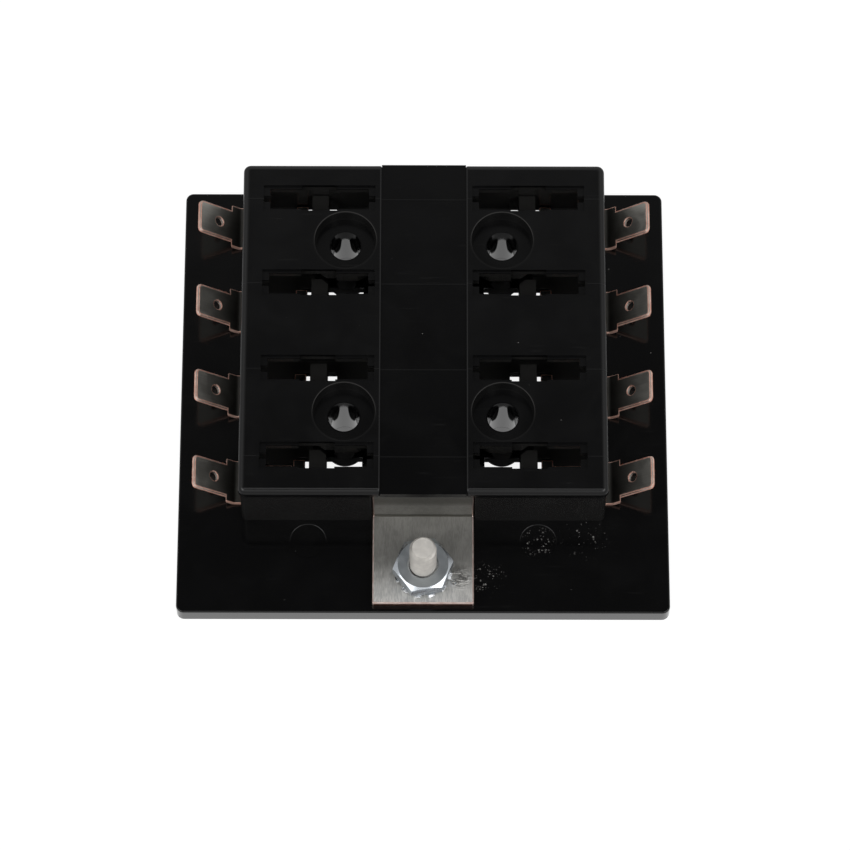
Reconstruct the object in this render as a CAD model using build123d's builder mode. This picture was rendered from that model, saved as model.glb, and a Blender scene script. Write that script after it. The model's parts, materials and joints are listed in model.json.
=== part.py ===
"""Eight-way blade fuse block with a common feed stud, in millimetres.

A cover moulding with eight fuse slots closes over a base plate. The feed comes in on a threaded
stud, runs along a thick bus bar under the cover's centre strip and reaches each fuse through a
spring clip riveted to the bar. On the other side of each fuse, a terminal holds the second blade
and passes out through the cover's wall as a flat quick-connect tab.

+X is to the right, +Y to the back, away from the stud, and +Z up. The origin is the centre of the
base plate's underside. Positions are counted 1 to 4 from the stud end.
"""

import math
import os

from build123d import *

os.makedirs("parts", exist_ok=True)

# Fuse positions, from the stud end to the back
positions = 4
position_pitch = 16.94
position_shift = 0.2
end_margin = 7.14

# Base plate: a thin web with a skirt round it, wider than the cover on all sides
front_ledge = 17.45
back_ledge = 0.55
side_ledge = 11.2
plate_height = 3.6
plate_web = 2.0
plate_skirt = 1.5
plate_corner = 1.4
plate_edge_round = 0.3
stiffener = 1.2
ejector_mark_radius = 3.2
ejector_mark_depth = 0.1
ejector_mark_x = 20.7
ejector_mark_from_front = 13.7

# Cover: four walls and a deck, with the fuse slots in two raised columns
cover_height = 13.7
strip_width = 15.4
strip_drop = 0.5
strip_edge_round = 0.35
deck_thickness = 1.9
deck_lip = 0.3
cover_wall = 2.0
cover_rib = 2.0
deck_corner = 1.3
deck_edge_round = 1.2

# Fuse slots
slot_length = 18.0
slot_width = 4.1
slot_recess_length = 20.4
slot_recess_width = 5.1
slot_recess_depth = 0.5
slot_from_strip = 1.15
slot_from_side = 3.75
slot_notch_length = 6.4
slot_nub_width = 1.2
blade_offset = 7.0

# Mounting holes, each on the rib between two positions
hole_from_strip = 0.95
hole_diameter = 5.6
counterbore_diameter = 11.2
counterbore_depth = 2.7
cup_wall = 1.2
boss_wall = 0.8

# Windows through the base plate behind each fuse, beside a barrier between its two clips
barrier_width = 3.1
barrier_length = 9.0
barrier_height = 5.4
window_front = 1.0
window_back = 5.1
feed_window_long = 6.4
feed_window_short = 1.7
load_window = 2.4

# Bus bar: front pad, riser and top run, bent from one thick strip
bar_thickness = 1.6
bar_width = 18.2
bar_cup_gap = 0.45
bar_bend_radius = 0.3
pad_from_front = 1.15
riser_setback = 0.6
bar_end_gap = 0.4
bar_clearance = 0.15
post_width = 4.4
post_depth = 2.4

# Spring clips on the bus bar
clip_thickness = 0.6
clip_width = 5.0
clip_lift = 0.8
clip_height = 4.5
clip_half_gap = 1.0
clip_grip_half_gap = 0.25
clip_mouth_half_gap = 0.65
clip_arm_height = 1.8
clip_foot_edge_gap = 0.2
clip_foot_width = 3.6
clip_foot_length = 4.3
rivet_radius = 0.75
rivet_head_radius = 1.05
rivet_head_height = 0.5
rivet_clearance = 0.05
rivet_bend_gap = 0.05

# Where a spring leaf starts to lean in and where it grips, as shares of its height
leaf_straight_share = 0.5
leaf_grip_share = 0.8

# Load terminals with their quick-connect tabs
tab_thickness = 0.8
tab_width = 6.35
tab_length = 7.5
tab_angle = 39.0
tab_slope_length = 9.35
tab_bend_gap = 1.45
tab_bend_radius = 0.8
tab_hole_radius = 0.85
tab_hole_from_tip = 4.5
tab_tip_corner = 0.9
tab_tip_bevel = 0.2
neck_width = 8.3
neck_clearance = 0.15
body_side_clearance = 0.2
body_inner_gap = 0.8
body_wall_gap = 0.3
grip_width = 5.0
grip_height = 5.4
grip_half_gap = 1.0
grip_pinch_half_gap = 0.3
grip_mouth_half_gap = 0.7

# Feed stud with its captive-washer nut
stud_radius = 2.415
stud_shank_radius = 2.5
stud_length = 15.4
stud_chamfer = 0.5
stud_from_pad_front = 6.0
stud_hole_clearance = 0.085
stud_head_flats = 8.0
stud_head_height = 1.4
stud_head_clearance = 0.1
nut_flats = 9.525
nut_height = 3.2
nut_chamfer_angle = 30.0
nut_bore_clearance = 0.05
nut_countersink = 0.45
washer_thickness = 0.9
washer_radius = 5.2
washer_ring_radius = 4.0
washer_bore_clearance = 0.2
washer_teeth = 12
washer_tooth_width = 1.3
washer_tooth_root = 0.4

# Places that follow from the sizes above
column_width = slot_from_strip + slot_recess_length + slot_from_side
cover_width = strip_width + 2 * column_width
cover_depth = (positions - 1) * position_pitch + 2 * end_margin
plate_width = cover_width + 2 * side_ledge
plate_depth = cover_depth + front_ledge + back_ledge
cover_centre_y = (front_ledge - back_ledge) / 2
cover_top = plate_height + cover_height
column_x = strip_width / 2 + slot_from_strip + slot_recess_length / 2
hole_x = strip_width / 2 + hole_from_strip + counterbore_diameter / 2
plate_front = -plate_depth / 2
web_bottom = plate_height - plate_web
deck_bottom = cover_top - deck_thickness
cover_front = cover_centre_y - cover_depth / 2
wall_outer_x = cover_width / 2 - deck_lip
wall_inner_x = wall_outer_x - cover_wall
wall_inner_y = cover_depth / 2 - deck_lip - cover_wall
cup_bottom = cover_top - counterbore_depth - cup_wall
rows_centre_y = cover_centre_y + position_shift
position_y = [rows_centre_y + (k - (positions - 1) / 2) * position_pitch for k in range(positions)]
rib_y = [(a + b) / 2 for a, b in zip(position_y, position_y[1:])]
hole_y = rib_y[::2]
boss_radius = hole_diameter / 2 + boss_wall
hole_places = [(side * hole_x, y) for side in (-1, 1) for y in hole_y]
position_places = [(side, y, number) for side in (-1, 1) for number, y in enumerate(position_y, start=1)]
barrier_inner_x = column_x - barrier_width / 2
barrier_outer_x = column_x + barrier_width / 2
bar_run_width = 2 * (hole_x - counterbore_diameter / 2 - cup_wall - bar_cup_gap)
bar_bottom = deck_bottom - bar_thickness
pad_top = plate_height + bar_thickness
pad_front = plate_front + pad_from_front
riser_front = cover_front + riser_setback
stud_y = pad_front + stud_from_pad_front
stud_hole_radius = stud_shank_radius + stud_hole_clearance
washer_top = pad_top + washer_thickness
nut_top = washer_top + nut_height
washer_bore_radius = stud_radius + washer_bore_clearance
stud_top = web_bottom + stud_length
clip_bottom = plate_height + clip_lift
clip_inner_x = column_x - blade_offset - clip_width / 2
grip_inner_x = column_x + blade_offset - grip_width / 2
tab_bend_x = wall_outer_x + tab_bend_gap
clip_foot_inner_x = bar_run_width / 2 - clip_foot_edge_gap - clip_foot_width
foot_centre_x = clip_foot_inner_x + clip_foot_width / 2
rivet_offset = clip_half_gap + 1.5 * clip_thickness + rivet_head_radius + rivet_bend_gap
body_width = 2 * (cover_centre_y + wall_inner_y - position_y[-1] - body_side_clearance)
side_names = {-1: "left", 1: "right"}


def foot_direction(number):
    """Which way a bus clip's foot points, along Y: away from the mounting hole beside it."""
    return -1 if number % 2 else 1


def side_plane(side, y):
    """An upright plane across the block, with its x axis outboard and its y axis up."""
    return Plane(origin=(0, y, 0), x_dir=(side, 0, 0), z_dir=(0, -side, 0))


def end_plane(side, x, y):
    """An upright plane along the block at distance x outboard, with its y axis up."""
    return Plane(origin=(side * x, y, 0), x_dir=(0, side, 0), z_dir=(side, 0, 0))


def save(part, name):
    """Labels a finished piece and writes its STEP file."""
    part.label = name
    export_step(part, f"parts/{name}.step")
    print(name, round(part.volume, 1), "mm3")


# Base plate
with BuildPart() as base_plate:
    with BuildSketch():
        RectangleRounded(plate_width, plate_depth, plate_corner)
    extrude(amount=plate_height)
    fillet(base_plate.faces().sort_by(Axis.Z)[-1].edges(), plate_edge_round)

    # The underside is hollow inside the skirt
    with BuildSketch():
        Rectangle(plate_width - 2 * plate_skirt, plate_depth - 2 * plate_skirt)
    extrude(amount=web_bottom, mode=Mode.SUBTRACT)

    # Stiffeners under the cover's walls and ribs, feet round the mounting holes
    with BuildSketch():
        with Locations(*[(0, y) for y in rib_y]):
            Rectangle(plate_width - 2 * plate_skirt, stiffener)
        with Locations(*[(side * (wall_outer_x - cover_wall / 2), 0) for side in (-1, 1)]):
            Rectangle(stiffener, plate_depth - 2 * plate_skirt)
        with Locations(*[(side * (bar_width + stiffener) / 2, 0) for side in (-1, 1)]):
            Rectangle(stiffener, plate_depth - 2 * plate_skirt)
        with Locations(*hole_places):
            Circle(boss_radius)
        head_rib_x = (stud_head_flats + stiffener) / 2 + stud_head_clearance
        with Locations((-head_rib_x, stud_y), (head_rib_x, stud_y)):
            Rectangle(stiffener, stud_head_flats)
    extrude(amount=web_bottom)

    # Posts under the bus bar and barriers between the two clips of each fuse
    with BuildSketch(Plane.XY.offset(plate_height)):
        with Locations(*[(0, y) for y in rib_y]):
            Rectangle(post_width, post_depth)
    extrude(amount=bar_bottom - plate_height)
    with BuildSketch(Plane.XY.offset(plate_height)):
        with Locations(*[(side * column_x, y) for side, y, number in position_places]):
            Rectangle(barrier_width, barrier_length)
    extrude(amount=barrier_height)

    # Windows: long ones only where the mounting hole is behind the fuse
    with BuildSketch(Plane.XY.offset(web_bottom)):
        for side, y, number in position_places:
            window_y = y + (window_front + window_back) / 2
            feed_window = feed_window_long if number % 2 else feed_window_short
            with Locations((side * (barrier_inner_x - feed_window / 2), window_y)):
                Rectangle(feed_window, window_back - window_front)
            with Locations((side * (barrier_outer_x + load_window / 2), window_y)):
                Rectangle(load_window, window_back - window_front)
        with Locations(*hole_places):
            Circle(boss_radius, mode=Mode.SUBTRACT)
    extrude(amount=plate_web, mode=Mode.SUBTRACT)

    # Holes for the mounting screws and the stud
    with BuildSketch():
        with Locations(*hole_places):
            Circle(hole_diameter / 2)
        with Locations((0, stud_y)):
            Circle(stud_hole_radius)
    extrude(amount=plate_height, mode=Mode.SUBTRACT)

    # Round marks left by the mould's ejector pins
    with BuildSketch(Plane.XY.offset(plate_height)):
        with Locations(*[(side * ejector_mark_x, plate_front + ejector_mark_from_front) for side in (-1, 1)]):
            Circle(ejector_mark_radius)
    extrude(amount=-ejector_mark_depth, mode=Mode.SUBTRACT)
save(base_plate.part, "base_plate")


# Cover
with BuildPart() as top_cover:
    # Two raised columns of the deck, rounded on their outer edges
    with BuildSketch(Plane.XY.offset(deck_bottom)):
        with Locations(*[(side * (strip_width + column_width) / 2, cover_centre_y) for side in (-1, 1)]):
            Rectangle(column_width, cover_depth)
    extrude(amount=deck_thickness)
    corner_edges = top_cover.edges().filter_by(Axis.Z).group_by(Axis.X)
    fillet(corner_edges[0] + corner_edges[-1], deck_corner)
    top_edges = top_cover.faces().filter_by(Axis.Z).group_by(Axis.Z)[-1].edges()
    strip_edges = top_edges.filter_by(lambda edge: abs(abs(edge.center().X) - strip_width / 2) < 0.01)
    fillet(top_edges - strip_edges, deck_edge_round)
    top_edges = top_cover.faces().filter_by(Axis.Z).group_by(Axis.Z)[-1].edges()
    strip_edges = top_edges.filter_by(lambda edge: abs(abs(edge.center().X) - strip_width / 2) < 0.01)
    fillet(strip_edges, strip_edge_round)

    # The centre strip between them is lower and keeps sharp ends
    with BuildSketch(Plane.XY.offset(deck_bottom)):
        with Locations((0, cover_centre_y)):
            Rectangle(strip_width, cover_depth)
    extrude(amount=deck_thickness - strip_drop)

    # Walls, ribs between positions and a tube round each mounting hole
    with BuildSketch(Plane.XY.offset(plate_height)):
        with Locations((0, cover_centre_y)):
            RectangleRounded(2 * wall_outer_x, 2 * (wall_inner_y + cover_wall), deck_corner - deck_lip)
            Rectangle(2 * wall_inner_x, 2 * wall_inner_y, mode=Mode.SUBTRACT)
        rib_inner_x = bar_run_width / 2 + 2 * bar_clearance
        rib_length = wall_inner_x - rib_inner_x
        with Locations(*[(side * (rib_inner_x + rib_length / 2), y) for side in (-1, 1) for y in rib_y]):
            Rectangle(rib_length, cover_rib)
        with Locations(*hole_places):
            Circle(boss_radius)
    extrude(amount=deck_bottom - plate_height)

    # Cups under the counterbores
    with BuildSketch(Plane.XY.offset(cup_bottom)):
        with Locations(*hole_places):
            Circle(counterbore_diameter / 2 + cup_wall)
    extrude(amount=deck_bottom - cup_bottom)

    # Mounting holes
    with Locations(*[(x, y, cover_top) for x, y in hole_places]):
        CounterBoreHole(hole_diameter / 2, counterbore_diameter / 2, counterbore_depth)

    # Fuse slots: a shallow recess, the through slot, its middle notch and a nub at each end
    with BuildSketch(Plane.XY.offset(cover_top)):
        with Locations(*[(side * column_x, y) for side, y, number in position_places]):
            Rectangle(slot_recess_length, slot_recess_width)
    extrude(amount=-slot_recess_depth, mode=Mode.SUBTRACT)
    with BuildSketch(Plane.XY.offset(cover_top)):
        with Locations(*[(side * column_x, y) for side, y, number in position_places]):
            Rectangle(slot_length, slot_width)
            Rectangle(slot_notch_length, slot_recess_width)
            Rectangle(slot_recess_length, slot_nub_width)
    extrude(amount=cup_bottom - cover_top, mode=Mode.SUBTRACT)

    # The front wall is open for the bus bar's riser
    with BuildSketch(Plane.XY.offset(plate_height)):
        with Locations((0, cover_front + deck_lip + cover_wall / 2)):
            Rectangle(bar_width + 2 * bar_clearance, cover_wall + deck_lip)
    extrude(amount=deck_bottom - plate_height, mode=Mode.SUBTRACT)

    # Notches at the foot of the side walls let the terminals out
    with BuildSketch(Plane.XY.offset(plate_height)):
        with Locations(*[(side * (wall_outer_x - cover_wall / 2), y) for side, y, number in position_places]):
            Rectangle(cover_wall + deck_lip, neck_width + 2 * neck_clearance)
    extrude(amount=tab_thickness + neck_clearance, mode=Mode.SUBTRACT)
save(top_cover.part, "top_cover")


# Bus bar
with BuildPart() as bus_bar:
    pad_z = plate_height + bar_thickness / 2
    riser_y = riser_front + bar_thickness / 2
    run_z = deck_bottom - bar_thickness / 2
    run_end = cover_centre_y + wall_inner_y - bar_end_gap
    with BuildSketch(Plane.YZ):
        with BuildLine():
            FilletPolyline(
                (pad_front, pad_z),
                (riser_y, pad_z),
                (riser_y, run_z),
                (run_end, run_z),
                radius=bar_bend_radius + bar_thickness / 2,
            )
        trace(line_width=bar_thickness)
    extrude(amount=bar_width / 2, both=True)

    # The top run is narrower than the riser, to pass between the cups
    run_start = riser_front + bar_thickness + bar_bend_radius
    with BuildSketch(Plane.XY.offset(deck_bottom)):
        side_strip = (bar_width - bar_run_width) / 2
        with Locations(*[(side * (bar_width - side_strip) / 2, (run_start + run_end) / 2) for side in (-1, 1)]):
            Rectangle(side_strip, run_end - run_start)
    extrude(amount=-bar_thickness, mode=Mode.SUBTRACT)

    # Holes for the stud and the clips' rivets
    with BuildSketch(Plane.XY.offset(plate_height)):
        with Locations((0, stud_y)):
            Circle(stud_hole_radius)
    extrude(amount=bar_thickness, mode=Mode.SUBTRACT)
    rivet_places = [
        (side * foot_centre_x, y + foot_direction(number) * rivet_offset)
        for side, y, number in position_places
    ]
    with BuildSketch(Plane.XY.offset(bar_bottom)):
        with Locations(*rivet_places):
            Circle(rivet_radius + rivet_clearance)
    extrude(amount=bar_thickness, mode=Mode.SUBTRACT)
save(bus_bar.part, "bus_bar")


def spring_profile(bottom, height, thickness, half_gap, grip_half_gap, mouth_half_gap):
    """Half of an upright spring clip's centre line, from the middle of its web up to its mouth.

    The leaf stands straight at first, leans in to the grip and opens again to the mouth.
    """
    half = thickness / 2
    foot_z = bottom + half
    return [
        (0, foot_z),
        (half_gap + half, foot_z),
        (half_gap + half, bottom + leaf_straight_share * height),
        (grip_half_gap + half, bottom + leaf_grip_share * height),
        (mouth_half_gap + half, bottom + height),
    ]


def mirrored(points):
    """The points of a half profile and their mirror images, as one run from mouth to mouth."""
    return [(-x, z) for x, z in reversed(points[1:])] + points[1:]


def bus_clip(side, y, number):
    """Makes the spring clip that takes the feed blade of one fuse."""
    toward = foot_direction(number) * side
    with BuildPart() as clip:
        # U-shaped spring across the fuse blade
        profile = spring_profile(
            clip_bottom, clip_height, clip_thickness, clip_half_gap, clip_grip_half_gap, clip_mouth_half_gap
        )
        with BuildSketch(end_plane(side, clip_inner_x, y)):
            with BuildLine():
                FilletPolyline(*mirrored(profile), radius=clip_thickness)
            trace(line_width=clip_thickness)
        extrude(amount=clip_width)

        # One leaf runs on inboard as an arm, up to a foot under the bus bar
        leaf = toward * (clip_half_gap + clip_thickness / 2)
        foot_z = bar_bottom - clip_thickness / 2
        arm_bottom = clip_bottom + 1.5 * clip_thickness
        with BuildSketch(end_plane(side, clip_foot_inner_x, y)):
            with BuildLine():
                FilletPolyline(
                    (leaf, arm_bottom),
                    (leaf, foot_z),
                    (toward * clip_foot_length, foot_z),
                    radius=clip_thickness,
                )
            trace(line_width=clip_thickness)
        extrude(amount=clip_foot_width)
        with BuildSketch(end_plane(side, clip_foot_inner_x, y)):
            with Locations((leaf, arm_bottom + clip_arm_height / 2)):
                Rectangle(clip_thickness, clip_arm_height)
        extrude(amount=clip_inner_x + clip_width - clip_foot_inner_x)
        with BuildSketch(Plane.XY.offset(bar_bottom)):
            with Locations((side * foot_centre_x, y + foot_direction(number) * rivet_offset)):
                Circle(rivet_radius + rivet_clearance)
        extrude(amount=-clip_thickness, mode=Mode.SUBTRACT)
    return clip.part


for side, y, number in position_places:
    save(bus_clip(side, y, number), f"bus_clip_{side_names[side]}_{number}")


# Rivets that hold the clips to the bus bar
with BuildPart() as clip_rivets:
    with BuildSketch(Plane.XY.offset(deck_bottom)):
        with Locations(*rivet_places):
            Circle(rivet_radius)
    extrude(amount=-(bar_thickness + clip_thickness))
    with BuildSketch(Plane.XY.offset(bar_bottom - clip_thickness)):
        with Locations(*rivet_places):
            Circle(rivet_head_radius)
    extrude(amount=-rivet_head_height)
save(clip_rivets.part, "clip_rivets")


def blade_terminal(side, y):
    """Makes one load terminal: a grip for the fuse blade and a quick-connect tab, in one strip."""
    slope = math.radians(tab_angle)
    tip_x = tab_bend_x + tab_slope_length * math.cos(slope)
    flat_z = plate_height + tab_thickness / 2
    tip_z = flat_z + tab_slope_length * math.sin(slope)
    body_start = barrier_outer_x + body_inner_gap
    body_end = wall_inner_x - body_wall_gap
    shoulder_x = tip_x - tab_length * math.cos(slope)
    with BuildPart() as terminal:
        # Flat body on the base plate, bent up into the tab outside the wall
        with BuildSketch(side_plane(side, y)):
            with BuildLine():
                FilletPolyline(
                    (body_start, flat_z),
                    (tab_bend_x, flat_z),
                    (tip_x, tip_z),
                    radius=tab_bend_radius + tab_thickness / 2,
                )
            trace(line_width=tab_thickness)
        extrude(amount=body_width / 2, both=True)

        # Outline in plan: the body beside the grip, the neck through the wall and the tab
        web_width = 2 * (grip_half_gap + tab_thickness)
        with BuildSketch(Plane.XY.offset(plate_height)):
            for start, end, width in (
                (grip_inner_x, grip_inner_x + grip_width, web_width),
                (body_end, tip_x + tab_thickness, neck_width),
                (shoulder_x, tip_x + tab_thickness, tab_width),
            ):
                margin = (body_width - width) / 2
                for edge in (-1, 1):
                    with Locations((side * (start + end) / 2, y + edge * (body_width - margin) / 2)):
                        Rectangle(end - start, margin)
        extrude(amount=tip_z, mode=Mode.SUBTRACT)

        # Two leaves bent up from the body grip the fuse blade
        profile = spring_profile(
            plate_height, grip_height, tab_thickness, grip_half_gap, grip_pinch_half_gap, grip_mouth_half_gap
        )
        with BuildSketch(end_plane(side, grip_inner_x, y)):
            with BuildLine():
                FilletPolyline(*mirrored(profile), radius=tab_thickness)
            trace(line_width=tab_thickness)
        extrude(amount=grip_width)

        # The tab's end is rounded at its corners, bevelled and pierced
        tab_frame = Plane(
            origin=(side * tip_x, y, tip_z),
            x_dir=(-side * math.cos(slope), 0, -math.sin(slope)),
            z_dir=(-side * math.sin(slope), 0, math.cos(slope)),
        )
        end_face = terminal.faces().sort_by_distance((side * tip_x, y, tip_z))[0]
        fillet(end_face.edges().filter_by(lambda edge: edge.length < tab_thickness + 0.01), tab_tip_corner)
        end_face = terminal.faces().sort_by_distance((side * tip_x, y, tip_z))[0]
        chamfer(end_face.edges().filter_by(Axis.Y), tab_tip_bevel)
        with BuildSketch(tab_frame):
            with Locations((tab_hole_from_tip, 0)):
                Circle(tab_hole_radius)
        extrude(amount=tab_thickness, both=True, mode=Mode.SUBTRACT)
    return terminal.part


for side, y, number in position_places:
    save(blade_terminal(side, y), f"blade_terminal_{side_names[side]}_{number}")


# Feed stud, with its head under the base plate's web
with BuildPart() as power_stud:
    with BuildSketch(Plane.XY.offset(web_bottom)):
        with Locations((0, stud_y)):
            RegularPolygon(stud_head_flats / 2, 6, major_radius=False, rotation=30)
    extrude(amount=-stud_head_height)

    # Plain shank through the plate and the pad, and the threaded length above it
    with BuildSketch(Plane.XY.offset(web_bottom)):
        with Locations((0, stud_y)):
            Circle(stud_shank_radius)
    extrude(amount=pad_top - web_bottom)
    with BuildSketch(Plane.XY.offset(web_bottom)):
        with Locations((0, stud_y)):
            Circle(stud_radius)
    extrude(amount=stud_top - web_bottom)
    chamfer(power_stud.faces().sort_by(Axis.Z)[-1].edges(), stud_chamfer)
save(power_stud.part, "power_stud")


# External-tooth lock washer, captive under the nut
with BuildPart() as tooth_washer:
    with BuildSketch(Plane.XY.offset(pad_top)):
        with Locations((0, stud_y)):
            Circle(washer_ring_radius)
            tooth_length = washer_radius - washer_ring_radius + washer_tooth_root
            with PolarLocations(washer_radius - tooth_length / 2, washer_teeth):
                Rectangle(tooth_length, washer_tooth_width)
            Circle(washer_bore_radius, mode=Mode.SUBTRACT)
    extrude(amount=washer_thickness)
save(tooth_washer.part, "tooth_washer")


# Hexagon nut, with a flat towards the front
with BuildPart() as hex_nut:
    with BuildSketch(Plane.XY.offset(washer_top)):
        with Locations((0, stud_y)):
            RegularPolygon(nut_flats / 2, 6, major_radius=False)
    extrude(amount=nut_height)

    # The top corners are turned off at an angle
    nut_corner = nut_flats / math.sqrt(3)
    corner_drop = (nut_corner - nut_flats / 2) * math.tan(math.radians(nut_chamfer_angle))
    with BuildSketch(Plane(origin=(0, stud_y, 0), x_dir=(1, 0, 0), z_dir=(0, -1, 0))):
        with BuildLine():
            Polyline(
                (0, washer_top),
                (nut_corner, washer_top),
                (nut_corner, nut_top - corner_drop),
                (nut_flats / 2, nut_top),
                (0, nut_top),
                close=True,
            )
        make_face()
    revolve(axis=Axis((0, stud_y, 0), (0, 0, 1)), mode=Mode.INTERSECT)
    with BuildSketch(Plane.XY.offset(washer_top)):
        with Locations((0, stud_y)):
            Circle(stud_radius + nut_bore_clearance)
    extrude(amount=nut_height, mode=Mode.SUBTRACT)

    # Both ends of the bore are countersunk
    bore_edges = hex_nut.edges().filter_by(GeomType.CIRCLE).filter_by(lambda edge: edge.radius < washer_bore_radius)
    chamfer(bore_edges, nut_countersink)
save(hex_nut.part, "hex_nut")
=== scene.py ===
"""Looks of the blade fuse block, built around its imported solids.

Two black mouldings carry a tin-plated bus bar, eight tin-plated terminals with bare copper edges
and a plated steel stud with its lock washer and nut. All lengths are in metres, in the part's own
frame: +X to the right, +Y to the back, away from the stud, and +Z up, with the underside at z = 0.
"""

from __future__ import annotations

import json
import logging
import math
from dataclasses import dataclass, field
from enum import Enum
from functools import cached_property

import bmesh
import bpy
from mathutils import Matrix, Vector

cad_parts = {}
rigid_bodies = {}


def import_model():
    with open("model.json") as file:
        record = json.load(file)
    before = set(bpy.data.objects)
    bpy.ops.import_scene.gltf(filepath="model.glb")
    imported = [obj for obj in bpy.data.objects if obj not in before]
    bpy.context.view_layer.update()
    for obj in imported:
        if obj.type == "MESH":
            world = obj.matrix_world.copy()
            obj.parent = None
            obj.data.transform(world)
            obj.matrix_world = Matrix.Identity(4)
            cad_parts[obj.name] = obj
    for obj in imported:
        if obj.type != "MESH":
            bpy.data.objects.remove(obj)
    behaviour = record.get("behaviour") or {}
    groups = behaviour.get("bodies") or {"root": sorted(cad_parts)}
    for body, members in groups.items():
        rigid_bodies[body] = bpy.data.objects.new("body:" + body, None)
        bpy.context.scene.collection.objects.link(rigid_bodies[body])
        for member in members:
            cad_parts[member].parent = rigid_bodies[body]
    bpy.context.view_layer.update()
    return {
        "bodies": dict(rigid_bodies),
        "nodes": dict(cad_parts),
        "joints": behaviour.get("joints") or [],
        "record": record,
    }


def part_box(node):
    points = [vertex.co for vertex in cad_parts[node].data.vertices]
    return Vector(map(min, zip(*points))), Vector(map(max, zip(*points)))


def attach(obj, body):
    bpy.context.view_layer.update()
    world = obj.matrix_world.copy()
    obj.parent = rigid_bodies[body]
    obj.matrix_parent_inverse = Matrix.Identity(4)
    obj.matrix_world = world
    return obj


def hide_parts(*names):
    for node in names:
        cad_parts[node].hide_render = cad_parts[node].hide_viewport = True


LOG = logging.getLogger("fuse_block")
MM = 0.001

Socket = bpy.types.NodeSocket
Value = Socket | float
Colour = tuple[float, float, float]
Span = tuple[float, float]
Triple = tuple[float, float, float]


class Side(Enum):
    """The two columns of fuse positions, by the sign of their x."""

    LEFT = -1
    RIGHT = 1

    @property
    def word(self) -> str:
        """The side's name, as the nodes have it."""
        return self.name.lower()


class Body(Enum):
    """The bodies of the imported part."""

    BLOCK = "block"
    WASHER = "washer"
    NUT = "nut"


class RecordSlot(Enum):
    """The record's material slots."""

    HOUSING = "housing"
    BUS_COPPER = "bus_copper"
    TERMINAL_COPPER = "terminal_copper"
    CLIP_BRASS = "clip_brass"
    STUD_STEEL = "stud_steel"
    ZINC_STEEL = "zinc_steel"


class Metal(Enum):
    """Which face of a stamped piece a polygon belongs to, as its material index."""

    PLATED = 0
    CUT_EDGE = 1
    WORN_EDGE = 2


class NutFace(Enum):
    """Which face of the nut a polygon belongs to, as its material index."""

    CONE = 0
    FLAT = 1
    RING = 2


# The rows' numbers, and places in the part's frame in millimetres.
POSITIONS = (1, 2, 3, 4)
PITCH = 16.94
ROWS_CENTRE_Y = 8.65
COVER_CENTRE_Y = 8.45
HOLE_X = 14.25
HOLE_PLACES = tuple(
    (side.value * HOLE_X, ROWS_CENTRE_Y + end * PITCH) for side in Side for end in (-1, 1)
)


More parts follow.
